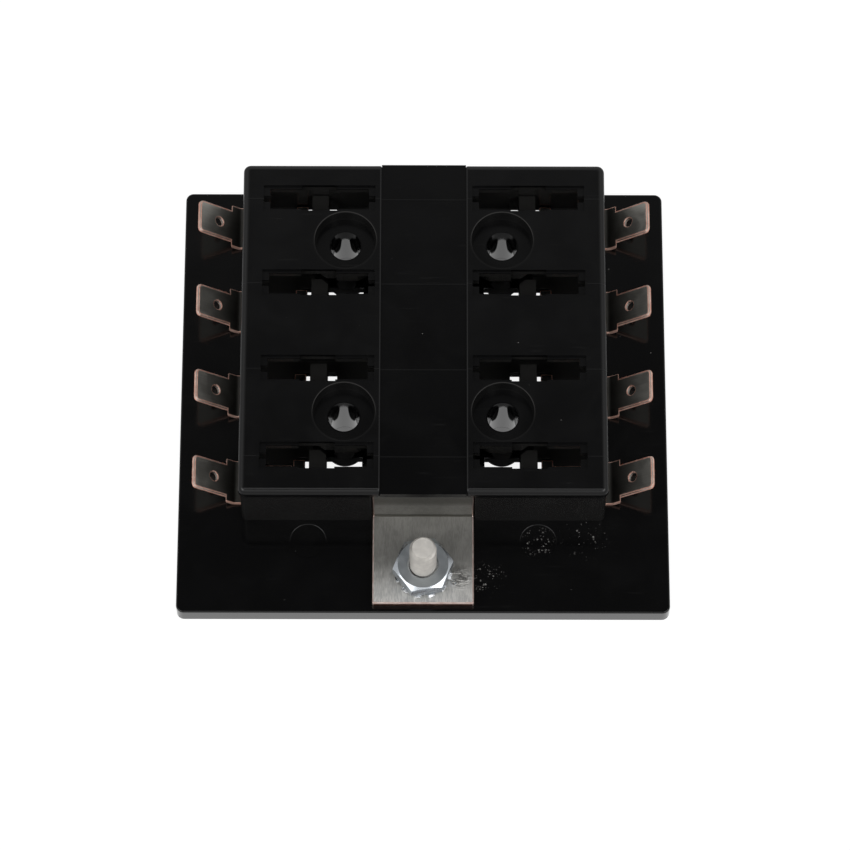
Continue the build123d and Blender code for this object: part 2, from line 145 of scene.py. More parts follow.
class Shader:
    """A material or world under construction, with short calls for the nodes that it uses."""

    SPECK_WARP_RATE = 2.2
    SPECK_WARP_REACH = 2.6
    SMALLEST_SPECK = 0.25

    def __init__(self, owner: bpy.types.Material | bpy.types.World) -> None:
        """Starts an empty tree of nodes.

        Args:
            owner: The new material or world.
        """
        self.owner = owner
        owner.use_nodes = True
        self.tree = owner.node_tree
        self.tree.nodes.clear()

    @classmethod
    def of_material(cls, name: str) -> Shader:
        """Starts a new material."""
        return cls(bpy.data.materials.new(name))

    @cached_property
    def here(self) -> Socket:
        """Object coordinates in millimetres."""
        return self.place()

    def node(
        self, kind: str, inputs: dict[str | int, Value | Colour] | None = None, **settings: object
    ) -> bpy.types.Node:
        """Adds a node.

        Args:
            kind: The node's type name, without the word ShaderNode in front.
            inputs: Values or sockets for its inputs, by name or number.
            settings: Values for its own properties.

        Returns:
            The new node.
        """
        made = self.tree.nodes.new(f"ShaderNode{kind}")
        for key, value in settings.items():
            setattr(made, key, value)
        for key, value in (inputs or {}).items():
            if isinstance(value, Socket):
                self.tree.links.new(value, made.inputs[key])
            elif isinstance(value, tuple) and made.inputs[key].type == "RGBA":
                made.inputs[key].default_value = (*value, 1.0)
            else:
                made.inputs[key].default_value = value
        return made

    def math(self, operation: str, first: Value, second: Value = 0.0) -> Socket:
        """Adds a Math node and returns its result."""
        return self.node("Math", {0: first, 1: second}, operation=operation).outputs[0]

    def product(self, *factors: Value) -> Socket:
        """Returns the product of two or more values."""
        total = factors[0]
        for factor in factors[1:]:
            total = self.math("MULTIPLY", total, factor)
        return total

    def sum(self, *terms: Value) -> Socket:
        """Returns the sum of two or more values."""
        total = terms[0]
        for term in terms[1:]:
            total = self.math("ADD", total, term)
        return total

    def largest(self, *values: Value) -> Socket:
        """Returns the largest of two or more values."""
        total = values[0]
        for value in values[1:]:
            total = self.math("MAXIMUM", total, value)
        return total

    def blend(self, factor: Value, first: Socket | Colour, second: Socket | Colour) -> Socket:
        """Mixes two colours by a factor."""
        mix = self.node("Mix", {0: factor, 6: first, 7: second}, data_type="RGBA")
        return mix.outputs[2]

    def between(
        self, value: Value, low: float, high: float, to_low: float = 0.0, to_high: float = 1.0
    ) -> Socket:
        """Maps a range of values smoothly onto another, held at its ends."""
        inputs = {0: value, 1: low, 2: high, 3: to_low, 4: to_high}
        return self.node("MapRange", inputs, interpolation_type="SMOOTHSTEP").outputs[0]

    def place(
        self, stretch: Triple = (1.0, 1.0, 1.0), centre: Triple = (0.0, 0.0, 0.0), turn: float = 0.0
    ) -> Socket:
        """Object coordinates in millimetres, moved, turned about z and stretched.

        Args:
            stretch: How many units of the pattern one millimetre is, along each axis.
            centre: The point, in millimetres, that becomes the pattern's origin.
            turn: The pattern's turn about z, in degrees.

        Returns:
            The coordinates as a vector.
        """
        metres = self.node("TexCoord").outputs["Object"]
        inputs = {"Vector": metres, "Location": Vector(centre) * -1.0, "Scale": (1.0 / MM,) * 3}
        moved = self.node("Mapping", inputs).outputs[0]
        inputs = {"Vector": moved, "Rotation": (0.0, 0.0, math.radians(-turn)), "Scale": stretch}
        return self.node("Mapping", inputs).outputs[0]

    def axis(self, number: int, vector: Socket | None = None) -> Socket:
        """One component of here or of a vector: 0, 1 or 2 for x, y or z."""
        return self.node("SeparateXYZ", {0: vector or self.here}).outputs[number]

    def apart(self, number: int, centre: float = 0.0) -> Socket:
        """How far here is from a place along one axis."""
        return self.math("ABSOLUTE", self.math("SUBTRACT", self.axis(number), centre))

    def noise(
        self, vector: Socket, period: float, detail: float = 2.0, distortion: float = 0.0
    ) -> Socket:
        """Smooth noise from 0 to 1, mostly near a half.

        Args:
            vector: Where it is read, in millimetres.
            period: The size of its blotches in those units.
            detail: How many finer octaves are added.
            distortion: How far the pattern is pulled about.

        Returns:
            The noise value.
        """
        inputs = {"Vector": vector, "Scale": 1.0 / period, "Detail": detail}
        return self.node("TexNoise", {**inputs, "Distortion": distortion}).outputs[0]

    def distance(self, point: Triple, vector: Socket | None = None) -> Socket:
        """The distance of here or of a vector from a point."""
        ends = {0: vector or self.here, 1: point}
        return self.node("VectorMath", ends, operation="DISTANCE").outputs[1]

    def line(self, value: Socket, place: float, half_width: float) -> Socket:
        """A soft line where a value passes a place."""
        off = self.math("ABSOLUTE", self.math("SUBTRACT", value, place))
        return self.between(off, 0.0, half_width, 1.0, 0.0)

    def specks(self, cell: float, size: float, share: float) -> Socket:
        """Scattered irregular specks.

        Args:
            cell: The spacing of the places where a speck may lie.
            size: A speck's largest radius.
            share: The share of the places that hold one.

        Returns:
            1 in a speck and 0 outside.
        """
        pattern = {"Vector": self.here, "Scale": self.SPECK_WARP_RATE / size, "Detail": 2.0}
        warp = self.node("TexNoise", pattern).outputs[1]
        centred = self.node("VectorMath", {0: warp, 1: (0.5, 0.5, 0.5)}, operation="SUBTRACT")
        pulled = self.node(
            "VectorMath",
            {0: centred.outputs[0], "Scale": self.SPECK_WARP_REACH * size},
            operation="SCALE",
        )
        warped = self.node("VectorMath", {0: self.here, 1: pulled.outputs[0]}, operation="ADD")
        cells = self.node("TexVoronoi", {"Vector": warped.outputs[0], "Scale": 1.0 / cell})
        chance = self.node("SeparateColor", {0: cells.outputs["Color"]})
        kept = self.math("GREATER_THAN", chance.outputs[0], 1.0 - share)
        smallest = self.SMALLEST_SPECK * size / cell
        radius = self.between(chance.outputs[1], 0.0, 1.0, smallest, size / cell)
        inside = self.math("LESS_THAN", cells.outputs["Distance"], radius)
        return self.product(kept, inside)

    def relief(self, height: Value, distance: float) -> Socket:
        """A bump's normal.

        Args:
            height: The height pattern, from 0 to 1.
            distance: How high 1 stands, in millimetres.

        Returns:
            The bumped normal.
        """
        inputs = {"Height": height, "Distance": distance * MM, "Strength": 1.0}
        return self.node("Bump", inputs).outputs[0]

    def coat(
        self, colour: Socket, roughness: Value, height: Value, depth: float, **more: float
    ) -> bpy.types.Material:
        """Finishes the material as one surface with a relief.

        Args:
            colour: Its base colour.
            roughness: Its roughness.
            height: The relief's pattern.
            depth: How high 1 of the pattern stands, in millimetres.
            more: Values for other inputs of the surface shader.

        Returns:
            The material.
        """
        normal = self.relief(height, depth)
        inputs = {"Base Color": colour, "Roughness": roughness, "Normal": normal, **more}
        return self.finish(self.node("BsdfPrincipled", inputs))

    def finish(self, surface: bpy.types.Node) -> bpy.types.Material:
        """Joins the surface shader to the output and returns the material."""
        self.node("OutputMaterial", {"Surface": surface.outputs[0]})
        return self.owner


@dataclass(frozen=True)
class Patch:
    """A patch of dust or scuffs: its centre and its radius in millimetres.

    Its strength is, for dust, the share of possible specks that lie in it and, for scuffs, how
    many times deeper than the brush marks they are.
    """

    x: float
    y: float
    z: float
    reach: float
    strength: float

    def near(self, shader: Shader, core: float) -> Socket:
        """1 in the patch's core, which is a share of its radius, and 0 outside the patch."""
        off = shader.distance((self.x, self.y, self.z))
        return shader.between(off, core * self.reach, self.reach, 1.0, 0.0)


@dataclass(frozen=True)
class MouldedPlastic:
    """Black moulded thermoplastic, with faint grain, seams, scuffs, dust, painted sheen and a
    painted rim line.

    Lengths are in millimetres. A Span holds where a change starts and where it is complete; for
    holes and counterbores it holds radii. The sheen on the walls and the line on each counterbore's
    rim
    are painted light: each is a share of dust colour that lightens the plastic where it would catch
    light. The inner sheen lies in the fuse cells, which reach from inner_from out to
    inner_half_width and, from the cover's centre, inner_half_depth; the deep sheen is their part
    under deep_below.

    Attributes:
        gate_lines: The y of each mould seam.
        polished_within: The half width of a glossier strip along the middle, or 0 for none.
        strip_polish: The share of the roughness that is gone there.
        painted_sheen_below: The z under which walls carry a painted sheen.
        outer_fade: Where the outer painted sheen ends, measured down from painted_sheen_below.
        hole_polish: The share of the roughness that is gone in a mounting hole.
        rim_painted_highlight: The painted highlight on each counterbore's rim; its upper wall has a
            share of it.
        rim_back: How far behind a hole's centre the painted rim line appears.
    """

    name: str
    roughness: float
    painted_sheen_below: float
    colour: Colour = (0.0026, 0.0026, 0.0028)
    dust_and_sheen_colour: Colour = (0.42, 0.41, 0.39)
    ior: float = 1.5
    grain: float = 0.004
    dust: tuple[Patch, ...] = ()
    gate_lines: tuple[float, ...] = ()
    seam_half_width: float = 0.16
    polished_within: float = 0.0
    strip_polish: float = 0.32
    outer_painted_sheen: float = 0.03
    outer_fade: Span = (3.0, 1.2)
    inner_painted_sheen: float = 0.05
    inner_fade: float = 0.3
    deep_painted_sheen: float = 0.09
    deep_below: float = 12.5
    deep_fade: float = 0.5
    inner_from: float = 8.0
    inner_half_width: float = 31.4
    inner_half_depth: float = 31.0
    hole_places: tuple[Span, ...] = HOLE_PLACES
    hole_edge: Span = (2.9, 3.1)
    hole_polish: float = 0.7
    clear_of_holes: Span = (5.7, 6.2)
    rim_painted_highlight: float = 0.1
    rim_radius: float = 5.66
    rim_half_width: float = 0.13
    rim_height: Span = (16.9, 17.2)
    rim_back: Span = (-2.0, 3.0)
    bore_wall_painted_sheen: float = 0.12
    bore_wall_start: Span = (5.3, 5.5)
    bore_wall_end: Span = (5.7, 6.0)

    def material(self) -> bpy.types.Material:
        """Makes the material."""
        shader = Shader.of_material(self.name)
        wide = shader.noise(shader.here, period=9.0, detail=3.0, distortion=0.6)
        fine = shader.noise(shader.here, period=0.22, detail=3.0)
        polish, off_holes, painted_rim_highlights = self.hole_marks(shader)
        if self.polished_within:
            edge = self.polished_within
            strip = shader.between(shader.apart(0), edge, edge + 0.2, 1.0, 0.0)
            polish = shader.sum(polish, shader.product(strip, self.strip_polish))
        lines: Value = 0.0
        for gate_y in self.gate_lines:
            seam = shader.line(shader.axis(1), gate_y, self.seam_half_width)
            lines = shader.largest(lines, seam)
        dust = self.dust_cover(shader)
        scuffs = self.scuffs(shader)
        # Real scuffs and seams, plus painted sheen on lower walls and a painted rim highlight, as
        # shares of dust colour.
        wear_and_painted_sheen = shader.sum(
            shader.product(scuffs, 0.006),
            shader.product(lines, 0.006),
            self.low_painted_sheen(shader, off_holes),
            shader.product(painted_rim_highlights, self.rim_painted_highlight),
        )
        colour = shader.blend(shader.product(dust, 0.55), self.colour, self.dust_and_sheen_colour)
        roughness = shader.sum(
            self.roughness,
            shader.between(wide, 0.3, 0.7, -0.035, 0.035),
            shader.product(polish, -self.roughness),
            shader.product(dust, 0.4),
            shader.product(scuffs, 0.06),
            shader.product(lines, 0.08),
        )
        height = shader.sum(shader.product(fine, 0.5), shader.product(lines, 1.5))
        colour = shader.blend(wear_and_painted_sheen, colour, self.dust_and_sheen_colour)
        return shader.coat(colour, roughness, height, self.grain, IOR=self.ior)

    def hole_marks(self, shader: Shader) -> tuple[Value, Value, Value]:
        """What the mounting holes change.

        Args:
            shader: The material under construction.

        Returns:
            The polish in the holes, 0 in the holes and 1 away from them, and the painted rim
            highlight.
        """
        polish: Value = 0.0
        off_holes: Value = 1.0
        painted_rim_highlights: Value = 0.0
        level = shader.place((1.0, 1.0, 0.0))
        upper = shader.between(shader.axis(2), *self.rim_height)
        for hole_x, hole_y in self.hole_places:
            off = shader.distance((hole_x, hole_y, 0.0), level)
            inside = shader.between(off, *self.hole_edge, 1.0, 0.0)
            polish = shader.sum(polish, shader.product(inside, self.hole_polish))
            off_holes = shader.product(off_holes, shader.between(off, *self.clear_of_holes))
            behind = shader.math("SUBTRACT", shader.axis(1), hole_y)
            back = shader.between(behind, *self.rim_back)
            # Painted highlight: a thin line on the back of the counterbore's rim, and painted sheen
            # on its upper wall.
            line = shader.line(off, self.rim_radius, self.rim_half_width)
            rim = shader.product(line, upper, back)
            wall = shader.product(
                shader.between(off, *self.bore_wall_end, self.bore_wall_painted_sheen, 0.0),
                shader.between(off, *self.bore_wall_start),
            )
            painted_rim_highlights = shader.largest(painted_rim_highlights, shader.sum(rim, wall))
        return polish, off_holes, painted_rim_highlights

    def dust_cover(self, shader: Shader) -> Value:
        """Specks of dust, sparse everywhere and thick in the patches.

        Args:
            shader: The material under construction.

        Returns:
            How much of the surface they cover.
        """
        dust = shader.product(shader.specks(cell=1.9, size=0.11, share=0.10), 0.8)
        ragged = shader.between(shader.noise(shader.here, 1.3, 2.0), 0.42, 0.6)
        for patch in self.dust:
            specks = shader.specks(cell=0.42, size=0.17, share=patch.strength)
            near = patch.near(shader, core=0.35)
            dust = shader.largest(dust, shader.product(specks, near, ragged))
        return dust

    def low_painted_sheen(self, shader: Shader, off_holes: Value) -> Socket:
        """The painted sheen on the walls below the top face, stronger in the fuse cells.

        Args:
            shader: The material under construction.
            off_holes: 0 in the mounting holes and 1 away from them.

        Returns:
            The share of dust colour that the painted sheen adds.
        """
        x, y = shader.apart(0), shader.apart(1, COVER_CENTRE_Y)
        height = shader.axis(2)
        beyond = shader.largest(
            shader.math("SUBTRACT", x, self.inner_half_width),
            shader.math("SUBTRACT", y, self.inner_half_depth),
            shader.math("SUBTRACT", self.inner_from, x),
        )
        inside = shader.product(shader.between(beyond, -0.2, 0.2, 1.0, 0.0), off_holes)
        upper_from = self.painted_sheen_below - self.inner_fade
        upper = shader.between(height, upper_from, self.painted_sheen_below, self.inner_painted_sheen, 0.0)
        deep_from = self.deep_below - self.deep_fade
        deep = shader.between(height, deep_from, self.deep_below, self.deep_painted_sheen, 0.0)
        full, none = (self.painted_sheen_below - drop for drop in self.outer_fade)
        walls = shader.between(height, full, none, self.outer_painted_sheen, 0.0)
        cells = shader.product(inside, shader.largest(upper, deep))
        return shader.largest(cells, shader.product(walls, off_holes))

    def scuffs(self, shader: Shader) -> Value:
        """Thin curved rub marks in a few directions.

        Args:
            shader: The material under construction.

        Returns:
            How strong they are.
        """
        marks: Value = 0.0
        for number, turn in enumerate((12.0, 68.0, 141.0)):
            along = shader.place((0.05, 1.0, 1.0), (3.0 * number, 7.0 * number, 0.0), turn)
            streak = shader.between(shader.noise(along, 0.5, 2.0, 0.3), 0.66, 0.74)
            aside = shader.place(centre=(11.0 * number, 0.0, 0.0))
            some = shader.between(shader.noise(aside, 6.0), 0.5, 0.66)
            marks = shader.largest(marks, shader.product(streak, some))
        return marks


@dataclass(frozen=True)
class PlatedSheet:
    """Tin-plated copper strip, rolled or brushed along one axis.

    Lengths are in millimetres. A painted shade holds where it starts to change, where the change is
    complete, and how far the plate is darkened at most: along y on the pad, darker towards the
    cover's wall, along z on the riser, darker towards its top, and, darkest first, away from the
    middle at a tab's root by the wall.

    Attributes:
        streak_length: How much slower the marks change along their run than across it.
        tone_range: The span of the pattern that goes from shade to colour.
        ragged: How far the edge of the pad's painted shade wanders.
        bend_painted_shade: The y and half width of the painted shade in the bend's crease.
        bend_shade_height: The z between which the bend's painted shade ends.
    """

    name: str
    colour: Colour
    shade: Colour
    roughness: float
    streak_along_y: bool = True
    streak_depth: float = 0.0012
    streak_length: float = 0.035
    tone_range: Span = (0.34, 0.66)
    scuffs: tuple[Patch, ...] = ()
    dark_tone: Colour = (0.16, 0.155, 0.14)
    pad_painted_shade: Triple | None = None
    riser_painted_shade: Triple | None = None
    root_painted_shade: Triple | None = None
    ragged: float = 1.6
    bend_painted_shade: Span | None = None
    bend_shade_height: Span = (5.3, 6.0)

    def material(self) -> bpy.types.Material:
        """Makes the material."""
        shader = Shader.of_material(self.name)
        short = self.streak_length
        along = shader.place((1.0, short, 1.0) if self.streak_along_y else (short, 1.0, short))
        streaks = shader.noise(along, period=0.16, detail=3.0)
        broad = shader.noise(along, period=0.9, detail=2.0)
        blotch = shader.noise(shader.here, period=2.8, detail=4.0, distortion=0.8)
        tone = shader.sum(
            shader.product(streaks, 0.5), shader.product(broad, 0.25), shader.product(blotch, 0.25)
        )
        colour = shader.blend(shader.between(tone, *self.tone_range), self.shade, self.colour)
        # Painted shade: the plate darkens towards its dark tone where walls and the bend would
        # shade it.
        colour = shader.blend(self.painted_shade_share(shader, blotch), colour, self.dark_tone)
        roughness = shader.sum(self.roughness, shader.between(blotch, 0.3, 0.7, -0.05, 0.05))
        height = streaks
        for scuff in self.scuffs:
            near = scuff.near(shader, core=0.3)
            dents = shader.noise(shader.place((0.45, 1.0, 1.0), turn=-14.0), 1.0, 1.0, 1.4)
            height = shader.sum(height, shader.product(near, dents, scuff.strength))
            gouged = shader.product(near, shader.between(dents, 0.42, 0.5))
            roughness = shader.sum(roughness, shader.product(gouged, -0.36))
            # Painted shade: the dents' low spots are darkened towards the dark tone.
            shaded_pits = shader.product(near, shader.between(dents, 0.32, 0.38, 0.45, 0.0))
            colour = shader.blend(shaded_pits, colour, self.dark_tone)
        return shader.coat(colour, roughness, height, self.streak_depth, Metallic=1.0)

    def painted_shade_share(self, shader: Shader, blotch: Socket) -> Value:
        """How far the plate is darkened by painted shade, also in the bend's crease.

        Args:
            shader: The material under construction.
            blotch: Noise that breaks the edge of the painted shade.

        Returns:
            0 for bright plate and 1 for full painted shade.
        """
        shaded: Value = 0.0
        if self.pad_painted_shade:
            bright_y, shaded_y, most = self.pad_painted_shade
            wander = shader.between(blotch, 0.3, 0.7, -self.ragged, self.ragged)
            along = shader.sum(shader.axis(1), wander)
            shaded = shader.between(along, bright_y, shaded_y, 0.0, most)
        if self.riser_painted_shade:
            foot_z, top_z, most = self.riser_painted_shade
            shaded = shader.largest(shaded, shader.between(shader.axis(2), foot_z, top_z, 0.0, most))
        if self.root_painted_shade:
            shaded_x, bright_x, most = self.root_painted_shade
            root = shader.between(shader.apart(0), shaded_x, bright_x, most, 0.0)
            shaded = shader.largest(shaded, root)
        if self.bend_painted_shade:
            line = shader.line(shader.axis(1), *self.bend_painted_shade)
            low = shader.between(shader.axis(2), *self.bend_shade_height, 1.0, 0.0)
            shaded = shader.sum(shaded, shader.product(line, low))
        return shaded


@dataclass(frozen=True)
class CutCopper:
    """The bare copper that shows where a plated strip was cut, with the punch's shear marks."""

    name: str
    colour: Colour
    # In cut copper this dark tone is real tarnish, spread in spots by noise.
    dark_tone: Colour
    roughness: float = 0.36
    relief: float = 0.006

    def material(self) -> bpy.types.Material:
        """Makes the material."""
        shader = Shader.of_material(self.name)
        spots = shader.noise(shader.here, 1.1, 3.0, 0.5)
        shear = shader.noise(shader.place((1.0, 1.0, 0.15)), 0.12, 2.0)
        colour = shader.blend(shader.between(spots, 0.35, 0.68), self.dark_tone, self.colour)
        roughness = shader.sum(self.roughness, shader.between(shear, 0.3, 0.7, -0.06, 0.08))
        return shader.coat(colour, roughness, shear, self.relief, Metallic=1.0)


@dataclass(frozen=True)
class PlatedSteel:
    """Plated steel, with a fine grain and a mottled plate."""

    name: str
    colour: Colour
    shade: Colour
    roughness: float
    mottle: float
    relief: float = 0.004

    def material(self) -> bpy.types.Material:
        """Makes the material."""
        shader = Shader.of_material(self.name)
        mottle = shader.noise(shader.here, self.mottle, 4.0, 0.4)
        fine = shader.noise(shader.here, 0.13, 2.0)
        colour = shader.blend(shader.between(mottle, 0.33, 0.66), self.shade, self.colour)
        roughness = shader.sum(self.roughness, shader.between(mottle, 0.3, 0.7, -0.06, 0.06))
        return shader.coat(colour, roughness, fine, self.relief, Metallic=1.0)


@dataclass(frozen=True)
class PaleSweep:
    """The plain white sweep that the block stands on.

    The camera, mirrors and clear things see it as a lit white board, but a mirror finds it in
    shade under the block, apart from the places below the mounting holes. All other light meets
    a plain white paint. Lengths are in millimetres.

    Attributes:
        mirrored_glow: Its glow in reflections beside the block; far_glow is that further out.
        pool_reach: The distances from the block between which the reflected glow falls.
        spot_half_width: Half a lit place's width at its back and front.
        waist_start: The distances from its back between which it narrows to its waist.
        waist_end: The distances from its back between which it widens again.
    """

    name: str = "pale_sweep"
    glow: float = 0.9
    mirrored_glow: float = 1.0
    far_glow: float = 0.26
    pool_reach: Span = (2.0, 8.0)
    seen_paint: Colour = (0.25, 0.25, 0.25)
    paint: Colour = (0.8, 0.8, 0.8)
    shaded_half_width: float = 44.2
    shaded_half_depth: float = 41.55
    shade_edge: float = 0.6
    spot_places: tuple[Span, ...] = HOLE_PLACES
    spot_radius: float = 2.8
    spot_half_width: float = 2.0
    waist_half_width: float = 1.5
    waist_start: Span = (0.0, 1.3)
    waist_end: Span = (2.4, 5.4)

    def material(self) -> bpy.types.Material:
        """Makes the material."""
        shader = Shader.of_material(self.name)
        path = shader.node("LightPath").outputs
        beyond = [
            shader.math("SUBTRACT", shader.apart(number), half)
            for number, half in enumerate((self.shaded_half_width, self.shaded_half_depth))
        ]
        off_block = shader.largest(*beyond)
        lit = shader.between(off_block, -self.shade_edge, 0.0)
        for spot in self.spot_places:
            lit = shader.largest(lit, self.spot(shader, *spot))
        mirrored = shader.largest(path["Is Glossy Ray"], path["Is Transmission Ray"])
        seen = shader.largest(path["Is Camera Ray"], shader.product(mirrored, lit))
        pool = shader.between(off_block, *self.pool_reach, self.mirrored_glow, self.far_glow)
        strength = shader.node("Mix", {0: path["Is Camera Ray"], 2: pool, 3: self.glow}).outputs[0]
        plain = shader.node("BsdfDiffuse", {"Color": self.paint})
        board = shader.node("BsdfDiffuse", {"Color": self.seen_paint})
        light = shader.node("Emission", {"Color": (1.0, 1.0, 1.0), "Strength": strength})
        bright = shader.node("AddShader", {0: board.outputs[0], 1: light.outputs[0]})
        both = {0: seen, 1: plain.outputs[0], 2: bright.outputs[0]}
        return shader.finish(shader.node("MixShader", both))

    def spot(self, shader: Shader, spot_x: float, spot_y: float) -> Socket:
        """The lit place below a mounting hole, waisted by the edges that stand over it.

        Args:
            shader: The material under construction.
            spot_x: The hole's x in millimetres.
            spot_y: The hole's y in millimetres.

        Returns:
            1 where it is lit and 0 outside.
        """
        wide, waist = self.spot_half_width, self.waist_half_width
        ahead = shader.math("SUBTRACT", spot_y + self.spot_radius, shader.axis(1))
        half = shader.largest(
            shader.between(ahead, *self.waist_start, wide, waist),
            shader.between(ahead, *self.waist_end, waist, wide),
        )
        beside = shader.math("SUBTRACT", shader.apart(0, spot_x), half)
        within = shader.between(beside, -0.08, 0.08, 1.0, 0.0)
        off = shader.distance((spot_x, spot_y, 0.0))
        disc = shader.between(off, self.spot_radius, self.spot_radius + 0.2, 1.0, 0.0)
        return shader.product(within, disc)


def new_piece(shape: bmesh.types.BMesh, name: str, smooth_below: float) -> bpy.types.Object:
    """Makes an object of a finished shape, at the origin, smooth but for its sharp edges.

    Args:
        shape: The shape, in the part's frame. It is used up.
        name: The object's name.
        smooth_below: The angle between two faces, in degrees, from which their edge is sharp.

    Returns:
        The object.
    """
    mesh = bpy.data.meshes.new(name)
    shape.to_mesh(mesh)
    shape.free()
    mesh.shade_smooth()
    mesh.set_sharp_from_angle(angle=math.radians(smooth_below))
    piece = bpy.data.objects.new(name, mesh)
    bpy.context.scene.collection.objects.link(piece)
    return piece


def merged(node: bpy.types.Object) -> bmesh.types.BMesh:
    """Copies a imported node's shape, closed, with each flat face in as few polygons as can be.

    Args:
        node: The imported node.

    Returns:
        The shape.
    """
    shape = bmesh.new()
    shape.from_mesh(node.data)
    bmesh.ops.remove_doubles(shape, verts=shape.verts, dist=0.0005 * MM)
    flat = math.radians(0.3)
    bmesh.ops.dissolve_limit(shape, angle_limit=flat, verts=shape.verts, edges=shape.edges)
    return shape


def turned(outline: list[Span], steps: int) -> bmesh.types.BMesh:
    """Turns a closed outline about the z axis.

    Args:
        outline: Its corners, each as a radius and a z.
        steps: The number of faces round the turn.

    Returns:
        The closed ring.
    """
    shape = bmesh.new()
    corners = [shape.verts.new((radius, 0.0, z)) for radius, z in outline]
    edges = [shape.edges.new(pair) for pair in zip(corners, corners[1:] + corners[:1])]
    bmesh.ops.spin(
        shape,
        geom=corners + edges,
        cent=(0.0, 0.0, 0.0),
        axis=(0.0, 0.0, 1.0),
        angle=math.tau,
        steps=steps,
        use_merge=True,
        use_duplicate=False,
    )
    return shape


def cut_level(shape: bmesh.types.BMesh, z: float, sign: float) -> None:
    """Cuts a shape off at a height and closes the cut.

    Args:
        shape: The shape.
        z: The height.
        sign: 1 where the part above is taken away, and -1 where the part below is.
    """
    cut = bmesh.ops.bisect_plane(
        shape,
        geom=shape.verts[:] + shape.edges[:] + shape.faces[:],
        plane_co=(0.0, 0.0, z),
        plane_no=(0.0, 0.0, sign),
        clear_outer=True,
    )
    rim = [item for item in cut["geom_cut"] if isinstance(item, bmesh.types.BMEdge)]
    bmesh.ops.edgeloop_fill(shape, edges=rim)


def break_edges(
    shape: bmesh.types.BMesh,
    width: float,
    from_angle: float,
    metal: Metal | None = None,
    clamp: bool = True,
) -> None:
    """Rounds the sharp outer edges of a shape a little, as a mould or a punch leaves them.

    Args:
        shape: The shape.
        width: The width of the rounding.
        from_angle: The angle between two faces, in degrees, from which their edge is rounded.
        metal: What the roundings show, where it differs from the faces beside them.
        clamp: Whether the width is cut back so that no roundings meet.
    """
    limit = math.radians(from_angle)
    sharp = [edge for edge in shape.edges if edge.is_convex and edge.calc_face_angle(0.0) > limit]
    made = bmesh.ops.bevel(
        shape,
        geom=sharp,
        offset=width,
        affect="EDGES",
        segments=2,
        profile=0.5,
        material=-1,
        clamp_overlap=clamp,
    )
    if metal is not None:
        for face in made["faces"]:
            face.material_index = metal.value


def weigh_normals(piece: bpy.types.Object) -> None:
    """Keeps large flat faces flat in their shading, beside their rounded edges.

    Args:
        piece: The piece.
    """
    modifier = piece.modifiers.new("flat faces stay flat", "WEIGHTED_NORMAL")
    modifier.keep_sharp = True
    modifier.weight = 80


def settle(piece: bpy.types.Object, body: Body, slot: RecordSlot, *nodes: str) -> None:
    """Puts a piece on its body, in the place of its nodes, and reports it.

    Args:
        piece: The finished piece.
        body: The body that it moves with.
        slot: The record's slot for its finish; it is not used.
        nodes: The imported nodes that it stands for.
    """
    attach(piece, body.value)
    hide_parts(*nodes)
    LOG.info("%s: %d polygons, rides on %s", piece.name, len(piece.data.polygons), body.value)


@dataclass
class Mouldings:
    """The base plate and the cover, both moulded in black."""

    frame: dict
    edge_break: float = 0.13 * MM
    sharp_from: float = 42.0
    level_from: float = 0.9999
    strip_half_width: float = 7.7
    base_finish: MouldedPlastic = field(init=False)
    cover_finish: MouldedPlastic = field(init=False)

    def __post_init__(self) -> None:
        """Works out the two finishes."""
        self.base_finish = MouldedPlastic(
            "base_plastic",
            roughness=0.14,
            dust=(
                Patch(11.5, -35.0, 4.0, reach=4.0, strength=0.75),
                Patch(20.7, -27.9, 4.0, reach=3.6, strength=0.7),
                Patch(29.0, -27.0, 4.0, reach=5.0, strength=0.3),
            ),
            # The base takes painted sheen only in its fuse cells, and no painted rim highlight.
            painted_sheen_below=4.5,
            outer_painted_sheen=0.0,
            rim_painted_highlight=0.0,
        )
        self.cover_finish = MouldedPlastic(
            "cover_plastic",
            roughness=0.2,
            gate_lines=tuple(COVER_CENTRE_Y + (number - 2.5) * PITCH for number in POSITIONS),
            # The cover takes painted sheen on its walls below its top face, and a painted rim
            # highlight.
            painted_sheen_below=16.65,
            polished_within=self.strip_half_width,
        )

    def build(self) -> None:
        """Builds both mouldings."""
        for node, finish in (("base_plate", self.base_finish), ("top_cover", self.cover_finish)):
            shape = merged(self.frame["nodes"][node])
            break_edges(shape, self.edge_break, self.sharp_from)
            piece = new_piece(shape, f"{node}_moulding", self.sharp_from)
            for polygon in piece.data.polygons:
                polygon.use_smooth = abs(polygon.normal.z) < self.level_from
            weigh_normals(piece)
            piece.data.materials.append(finish.material())
            settle(piece, Body.BLOCK, RecordSlot.HOUSING, node)


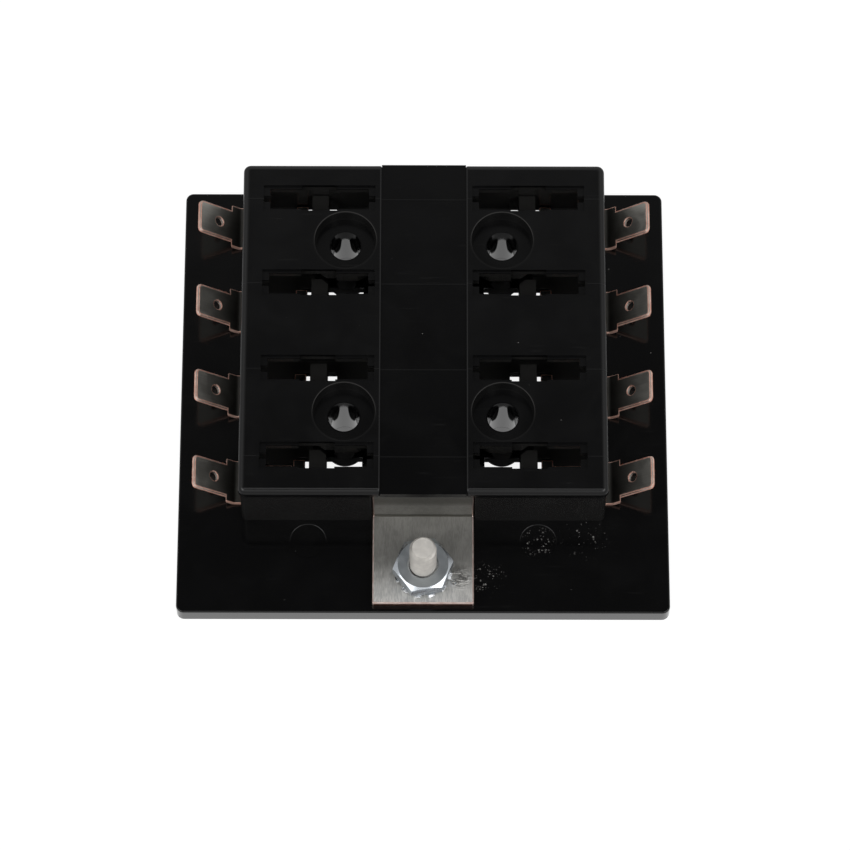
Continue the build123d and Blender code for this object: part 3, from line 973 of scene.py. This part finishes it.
@dataclass
class Conductors:
    """The bus bar, its spring clips and the load terminals.

    Attributes:
        wall_x: How far out a terminal becomes a tab.
        pierced_within: How far a tab's holes reach from its middle and stay from its tip.
        bar_front: The depth of the bar's front in which all faces are cut.
        facing_aside: How squarely a cut face of the bar or a clip looks sideways.
        facing_along: How squarely a cut face of a grip looks along x or y.
        facing_up: How squarely a plated face of a tab looks up or out of its slope.
    """

    frame: dict
    edge_break: float = 0.05 * MM
    bar_edge_break: float = 0.28 * MM
    terminal_edge_break: float = 0.2 * MM
    sharp_from: float = 42.0
    wall_x: float = 32.7 * MM
    tab_angle: float = 39.0
    pierced_within: float = 1.3 * MM
    bar_front: float = 0.1 * MM
    facing_aside: float = 0.9
    facing_along: float = 0.95
    facing_up: float = 0.62
    bar_finish: PlatedSheet = PlatedSheet(
        "bus_bar_tin",
        colour=(1.0, 0.985, 0.95),
        shade=(0.74, 0.735, 0.71),
        roughness=0.58,
        streak_length=0.16,
        tone_range=(0.4, 0.6),
        scuffs=(Patch(6.4, -35.4, 5.2, reach=3.0, strength=280.0),),
        # Painted shade: the pad darkens towards the cover's wall, the riser towards its top, and
        # the bend's crease.
        dark_tone=(0.13, 0.125, 0.11),
        pad_painted_shade=(-40.0, -30.5, 0.68),
        riser_painted_shade=(5.4, 11.8, 0.9),
        bend_painted_shade=(-23.62, 0.2),
    )
    tab_finish: PlatedSheet = PlatedSheet(
        "terminal_tin",
        colour=(0.74, 0.72, 0.66),
        shade=(0.63, 0.61, 0.56),
        roughness=0.4,
        # Painted shade: each tab darkens towards its root at the wall.
        dark_tone=(0.07, 0.068, 0.062),
        root_painted_shade=(34.0, 39.5, 0.93),
        streak_along_y=False,
    )
    clip_finish: PlatedSheet = PlatedSheet(
        "clip_tin",
        colour=(0.56, 0.53, 0.45),
        shade=(0.40, 0.37, 0.30),
        roughness=0.3,
    )
    tab_copper: CutCopper = CutCopper(
        "tab_edge_copper", colour=(0.98, 0.74, 0.64), dark_tone=(0.86, 0.56, 0.46), roughness=0.72
    )
    # Painted shade: the bus bar's cut faces get a dark copper tone in place of the shade they lie
    # in.
    pad_copper_painted_shade: CutCopper = CutCopper(
        "cut_copper_painted_shade", colour=(0.36, 0.19, 0.14), dark_tone=(0.17, 0.08, 0.06)
    )
    worn_edge: CutCopper = CutCopper(
        "worn_edge", colour=(0.88, 0.74, 0.68), dark_tone=(0.74, 0.56, 0.50), roughness=0.42
    )

    def dress(self, node: str, slot: RecordSlot, *finishes: bpy.types.Material) -> None:
        """Builds one stamped piece from its node, with rounded edges and bare cut edges.

        Args:
            node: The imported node's name.
            slot: The record's slot.
            finishes: Its materials, in the order of Metal.
        """
        shape = merged(self.frame["nodes"][node])
        for face in shape.faces:
            face.material_index = self.metal_of(node, face).value
        width, metal = {
            RecordSlot.TERMINAL_COPPER: (self.terminal_edge_break, Metal.WORN_EDGE),
            RecordSlot.BUS_COPPER: (self.bar_edge_break, Metal.WORN_EDGE),
        }.get(slot, (self.edge_break, None))
        break_edges(shape, width, self.sharp_from, metal=metal, clamp=metal is None)
        piece = new_piece(shape, f"{node}_strip", self.sharp_from)
        weigh_normals(piece)
        for finish in finishes:
            piece.data.materials.append(finish)
        settle(piece, Body.BLOCK, slot, node)

    def metal_of(self, node: str, face: bmesh.types.BMFace) -> Metal:
        """Tells a strip's plated faces from its cut edges.

        Args:
            node: The node's name.
            face: A face of it.

        Returns:
            The kind of face.
        """
        normal, centre = face.normal, face.calc_center_median()
        low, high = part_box(node)
        if not node.startswith("blade_terminal"):
            cut = abs(normal.x) > self.facing_aside
            if node == "bus_bar":
                cut = cut or centre.y < low.y + self.bar_front
            return Metal.CUT_EDGE if cut else Metal.PLATED
        if abs(centre.x) < self.wall_x:
            cut = max(abs(normal.x), abs(normal.y)) > self.facing_along
            return Metal.CUT_EDGE if cut else Metal.PLATED
        tip = max(abs(low.x), abs(high.x))
        pierced = abs(centre.y - (low.y + high.y) / 2) < self.pierced_within
        if pierced and abs(centre.x) < tip - self.pierced_within:
            return Metal.PLATED
        slope = math.radians(self.tab_angle)
        across = Vector((-math.copysign(math.sin(slope), centre.x), 0.0, math.cos(slope)))
        cut = max(abs(normal.dot(across)), abs(normal.z)) < self.facing_up
        return Metal.CUT_EDGE if cut else Metal.PLATED

    def build(self) -> None:
        """Builds all conductors."""
        cut, worn = self.tab_copper.material(), self.worn_edge.material()
        bar, pad = self.bar_finish.material(), self.pad_copper_painted_shade.material()
        self.dress("bus_bar", RecordSlot.BUS_COPPER, bar, pad, worn)
        tin, brass = self.tab_finish.material(), self.clip_finish.material()
        for side in Side:
            for number in POSITIONS:
                place = f"{side.word}_{number}"
                self.dress(f"blade_terminal_{place}", RecordSlot.TERMINAL_COPPER, tin, cut, cut)
                self.dress(f"bus_clip_{place}", RecordSlot.CLIP_BRASS, brass, brass)
        rivets = merged(self.frame["nodes"]["clip_rivets"])
        rivets = new_piece(rivets, "clip_rivet_set", self.sharp_from)
        rivets.data.materials.append(brass)
        settle(rivets, Body.BLOCK, RecordSlot.CLIP_BRASS, "clip_rivets")


@dataclass
class FeedStud:
    """The threaded stud, its external-tooth washer and its nut."""

    frame: dict
    major_radius: float = 2.415 * MM
    minor_radius: float = 1.95 * MM
    lead: float = 25.4 / 32 * MM
    flank_share: float = 0.375
    flat_share: float = 0.125
    thread_start: float = 5.2 * MM
    thread_overlap: float = 0.01 * MM
    thread_sharp_from: float = 35.0
    tip_chamfer: float = 0.5 * MM
    steps: int = 36
    washer_sheet: float = 0.5 * MM
    washer_ring: float = 4.0 * MM
    washer_bore: float = 2.615 * MM
    washer_reach: float = 5.19 * MM
    washer_steps: int = 96
    washer_edge_break: float = 0.04 * MM
    washer_sharp_from: float = 42.0
    teeth: int = 12
    tooth_root: float = 0.4 * MM
    tooth_twist: float = 24.0
    tooth_width: float = 1.25 * MM
    tooth_turn: float = 19.0
    nut_turn: float = 8.0
    nut_flats: float = 9.525 * MM
    nut_ring: float = 4.52 * MM
    nut_bore: float = 2.465 * MM
    nut_countersink: float = 0.3 * MM
    nut_cone: float = 30.0
    nut_steps: int = 144
    nut_sharp_from: float = 20.0
    nut_flat_below: float = 0.2
    nut_ring_from: float = 0.98
    stud_finish: PlatedSteel = PlatedSteel(
        "stud_plate", (0.98, 0.95, 0.90), (0.90, 0.87, 0.82), 0.62, mottle=1.6
    )
    zinc_finish: PlatedSteel = PlatedSteel(
        "zinc_plate", (0.68, 0.72, 0.76), (0.62, 0.66, 0.70), 0.28, mottle=2.6, relief=0.0008
    )
    # Painted shade: the flats and the top ring are darker copies of the zinc plate on the cones.
    flat_painted_shade_finish: PlatedSteel = PlatedSteel(
        "zinc_flats_painted_shade", (0.34, 0.38, 0.42), (0.26, 0.29, 0.33), 0.3, mottle=2.2, relief=0.0008
    )
    ring_painted_shade_finish: PlatedSteel = PlatedSteel(
        "zinc_ring_painted_shade", (0.60, 0.64, 0.67), (0.52, 0.56, 0.59), 0.4, mottle=2.6, relief=0.0006
    )
    # Painted highlight: the washer is a lighter copy of the zinc plate, for brighter glints on its
    # teeth.
    tooth_painted_glint_finish: PlatedSteel = PlatedSteel(
        "zinc_teeth_painted_glint", (0.86, 0.88, 0.90), (0.66, 0.69, 0.72), 0.22, mottle=0.9, relief=0.001
    )

    @property
    def axis_y(self) -> float:
        """Where the stud's axis stands along Y."""
        low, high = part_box("power_stud")
        return (low.y + high.y) / 2

    def thread(self, start: float, end: float) -> bmesh.types.BMesh:
        """A right-hand thread with flattened crests and roots, cut square at both ends.

        Args:
            start: The z of its lower end.
            end: The z of its upper end.

        Returns:
            The closed shape, standing on the z axis.
        """
        shape = bmesh.new()
        turns = math.ceil((end - start) / self.lead) + 2
        flank, root = self.flank_share * self.lead, self.flat_share * self.lead
        outline = [
            (self.minor_radius, 0.0),
            (self.major_radius, flank),
            (self.major_radius, self.lead - flank - root),
            (self.minor_radius, self.lead - root),
            (self.minor_radius, self.lead),
        ]
        points = [shape.verts.new((radius, 0.0, start - self.lead + z)) for radius, z in outline]
        edges = [shape.edges.new(pair) for pair in zip(points, points[1:])]
        bmesh.ops.spin(
            shape,
            geom=points + edges,
            cent=(0.0, 0.0, 0.0),
            axis=(0.0, 0.0, 1.0),
            dvec=(0.0, 0.0, self.lead / self.steps),
            angle=math.tau * turns,
            steps=self.steps * turns,
            use_merge=False,
            use_duplicate=False,
        )
        bmesh.ops.remove_doubles(shape, verts=shape.verts, dist=0.002 * MM)
        cut_level(shape, start, -1.0)
        cut_level(shape, end, 1.0)
        bmesh.ops.recalc_face_normals(shape, faces=shape.faces)
        return shape

    def stud(self) -> None:
        """Builds the stud: hexagon head under the plate, plain shank and threaded length."""
        shape = merged(self.frame["nodes"]["power_stud"])
        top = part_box("power_stud")[1].z
        cut_level(shape, self.thread_start, 1.0)
        thread = self.thread(self.thread_start - self.thread_overlap, top)
        for point in thread.verts:
            across = point.co.xy.length
            limit = self.major_radius - max(0.0, point.co.z - (top - self.tip_chamfer))
            if across > limit:
                point.co.xy *= limit / across
        bmesh.ops.translate(thread, verts=thread.verts, vec=(0.0, self.axis_y, 0.0))
        spare = bpy.data.meshes.new("thread")
        thread.to_mesh(spare)
        thread.free()
        shape.from_mesh(spare)
        bpy.data.meshes.remove(spare)
        piece = new_piece(shape, "threaded_stud", self.thread_sharp_from)
        piece.data.materials.append(self.stud_finish.material())
        settle(piece, Body.BLOCK, RecordSlot.STUD_STEEL, "power_stud")

    def washer(self) -> None:
        """Builds the lock washer: a flat ring with teeth twisted out of its plane."""
        low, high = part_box("tooth_washer")
        middle = (low.z + high.z) / 2
        under, over = middle - self.washer_sheet / 2, middle + self.washer_sheet / 2
        outline = [
            (self.washer_bore, under),
            (self.washer_ring, under),
            (self.washer_ring, over),
            (self.washer_bore, over),
        ]
        shape = turned(outline, self.washer_steps)
        length = self.washer_reach - self.washer_ring + self.tooth_root
        stretch = Matrix.Diagonal((length, self.tooth_width, self.washer_sheet, 1.0))
        twist = Matrix.Rotation(math.radians(self.tooth_twist), 4, "X")
        out = Matrix.Translation((self.washer_reach - length / 2, 0.0, middle))
        for tooth in range(self.teeth):
            angle = math.radians(self.tooth_turn) + math.tau * tooth / self.teeth
            turn = Matrix.Rotation(angle, 4, "Z")
            bmesh.ops.create_cube(shape, size=1.0, matrix=turn @ out @ twist @ stretch)
        bmesh.ops.recalc_face_normals(shape, faces=shape.faces)
        bmesh.ops.translate(shape, verts=shape.verts, vec=(0.0, self.axis_y, 0.0))
        break_edges(shape, self.washer_edge_break, self.washer_sharp_from)
        piece = new_piece(shape, "lock_washer", self.washer_sharp_from)
        piece.data.materials.append(self.tooth_painted_glint_finish.material())
        settle(piece, Body.WASHER, RecordSlot.ZINC_STEEL, "tooth_washer")

    def nut(self) -> None:
        """Builds the nut: a hexagon whose corners are turned down by a cone at both ends."""
        low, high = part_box("hex_nut")
        sink, far = self.nut_countersink, self.nut_flats
        outline = [
            (self.nut_bore, low.z + sink),
            (self.nut_bore + sink, low.z),
            (self.nut_ring, low.z),
            (far, low.z),
            (far, high.z),
            (self.nut_ring, high.z),
            (self.nut_bore + sink, high.z),
            (self.nut_bore, high.z - sink),
        ]
        shape = turned(outline, self.nut_steps)
        middle = (low.z + high.z) / 2
        slope = math.tan(math.radians(self.nut_cone))
        for point in shape.verts:
            across = point.co.xy.length
            if across > (self.nut_ring + far) / 2:
                off = math.atan2(point.co.y, point.co.x) % (math.tau / 6) - math.tau / 12
                reach = self.nut_flats / 2 / math.cos(off)
                point.co.xy *= reach / across
                point.co.z -= math.copysign((reach - self.nut_ring) * slope, point.co.z - middle)
        bmesh.ops.recalc_face_normals(shape, faces=shape.faces)
        for face in shape.faces:
            face.material_index = self.nut_face(face).value
        turn = Matrix.Rotation(math.radians(self.nut_turn), 3, "Z")
        bmesh.ops.rotate(shape, verts=shape.verts, cent=(0, 0, 0), matrix=turn)
        bmesh.ops.translate(shape, verts=shape.verts, vec=(0.0, self.axis_y, 0.0))
        piece = new_piece(shape, "chamfered_nut", self.nut_sharp_from)
        for finish in (self.zinc_finish, self.flat_painted_shade_finish, self.ring_painted_shade_finish):
            piece.data.materials.append(finish.material())
        settle(piece, Body.NUT, RecordSlot.ZINC_STEEL, "hex_nut")

    def nut_face(self, face: bmesh.types.BMFace) -> NutFace:
        """Tells the nut's upright faces and level rings from its turned cones.

        Args:
            face: A face of the nut.

        Returns:
            The kind of face.
        """
        rise = abs(face.normal.z)
        if rise < self.nut_flat_below:
            return NutFace.FLAT
        return NutFace.RING if rise > self.nut_ring_from else NutFace.CONE

    def build(self) -> None:
        """Builds the stud, the washer and the nut."""
        self.stud()
        self.washer()
        self.nut()


@dataclass(frozen=True)
class Softbox:
    """A soft lamp, placed by its direction from the block."""

    name: str
    azimuth: float
    elevation: float
    distance: float
    width: float
    height: float
    radiance: float

    def build(self, target: Vector) -> None:
        """Makes the lamp and aims it at the block.

        Args:
            target: The point that it lights.
        """
        data = bpy.data.lights.new(self.name, "AREA")
        data.shape = "RECTANGLE"
        data.size = self.width
        data.size_y = self.height
        data.energy = self.radiance * math.pi * self.width * self.height
        lamp = bpy.data.objects.new(self.name, data)
        turn, lift = math.radians(self.azimuth), math.radians(self.elevation)
        level = Vector((math.sin(turn), -math.cos(turn), 0.0)) * math.cos(lift)
        toward = level + Vector((0.0, 0.0, math.sin(lift)))
        lamp.location = target + toward * self.distance
        lamp.rotation_euler = toward.to_track_quat("Z", "Y").to_euler()
        bpy.context.scene.collection.objects.link(lamp)


@dataclass
class Studio:
    """The white sweep, the soft lamps, the room and the camera."""

    target: Vector = field(default_factory=lambda: Vector((0.0, -5.3, 4.0)) * MM)
    camera_distance: float = 0.8
    camera_elevation: float = 67.0
    camera_roll: float = 0.126
    aside: float = 0.29 * MM
    lens: float = 186.35
    clip: Span = (0.05, 20.0)
    floor_size: float = 3.0
    floor_drop: float = 0.02 * MM
    seen_white: float = 1.0
    room_tones: tuple[Span, ...] = (
        (0.0, 0.40),
        (0.45, 0.68),
        (0.62, 0.70),
        (0.82, 0.45),
        (0.885, 0.22),
        (0.92, 0.05),
    )
    lamps: tuple[Softbox, ...] = (
        Softbox("overhead_box", 0.0, 80.0, 1.1, 0.7, 0.36, 0.9),
        Softbox("left_box", -57.0, 46.0, 1.2, 0.9, 0.5, 2.0),
        Softbox("right_box", 57.0, 46.0, 1.2, 0.9, 0.5, 2.0),
        Softbox("front_box", 0.0, 50.0, 1.3, 0.5, 0.3, 0.6),
    )

    def floor(self) -> None:
        """Makes the sweep's flat part, just under the block."""
        shape = bmesh.new()
        bmesh.ops.create_grid(shape, x_segments=1, y_segments=1, size=self.floor_size)
        bmesh.ops.translate(shape, verts=shape.verts, vec=(0.0, 0.0, -self.floor_drop))
        sweep = new_piece(shape, "sweep", 30.0)
        sweep.data.materials.append(PaleSweep().material())

    def room(self) -> None:
        """Makes the room: white to the camera, and pale walls under a dark ceiling otherwise."""
        world = bpy.data.worlds.new("studio_room")
        shader = Shader(world)
        upward = shader.axis(2, shader.node("TexCoord").outputs["Generated"])
        rise = shader.node("ValToRGB", {0: upward})
        stops = rise.color_ramp.elements
        stops.remove(stops[1])
        for number, (height, radiance) in enumerate(self.room_tones):
            stop = stops.new(height) if number else stops[0]
            stop.color = (radiance, radiance, radiance, 1.0)
        path = shader.node("LightPath").outputs
        seen = shader.largest(path["Is Camera Ray"], path["Is Transmission Ray"])
        strength = shader.node("Mix", {0: seen, 2: rise.outputs[0], 3: self.seen_white})
        background = shader.node("Background", {"Strength": strength.outputs[0]})
        shader.node("OutputWorld", {"Surface": background.outputs[0]})
        bpy.context.scene.world = world

    def camera(self) -> None:
        """Sets the camera where the photograph was taken from."""
        data = bpy.data.cameras.new("camera")
        data.lens = self.lens
        data.clip_start, data.clip_end = self.clip
        camera = bpy.data.objects.new("camera", data)
        lift = math.radians(self.camera_elevation)
        away = Vector((0.0, -math.cos(lift), math.sin(lift)))
        camera.location = self.target + away * self.camera_distance + Vector((self.aside, 0.0, 0.0))
        upright = away.to_track_quat("Z", "Y").to_matrix()
        roll = Matrix.Rotation(math.radians(self.camera_roll), 3, "Z")
        camera.rotation_euler = (upright @ roll).to_euler()
        bpy.context.scene.collection.objects.link(camera)
        bpy.context.scene.camera = camera

    def build(self) -> None:
        """Builds the studio."""
        bpy.context.scene.view_settings.view_transform = "Standard"
        self.floor()
        self.room()
        for lamp in self.lamps:
            lamp.build(self.target)
        self.camera()


def main() -> None:
    """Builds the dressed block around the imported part."""
    logging.basicConfig(level=logging.INFO, format="%(name)s: %(message)s")
    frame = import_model()
    Mouldings(frame).build()
    Conductors(frame).build()
    FeedStud(frame).build()
    Studio().build()


if __name__ == "__main__":
    main()
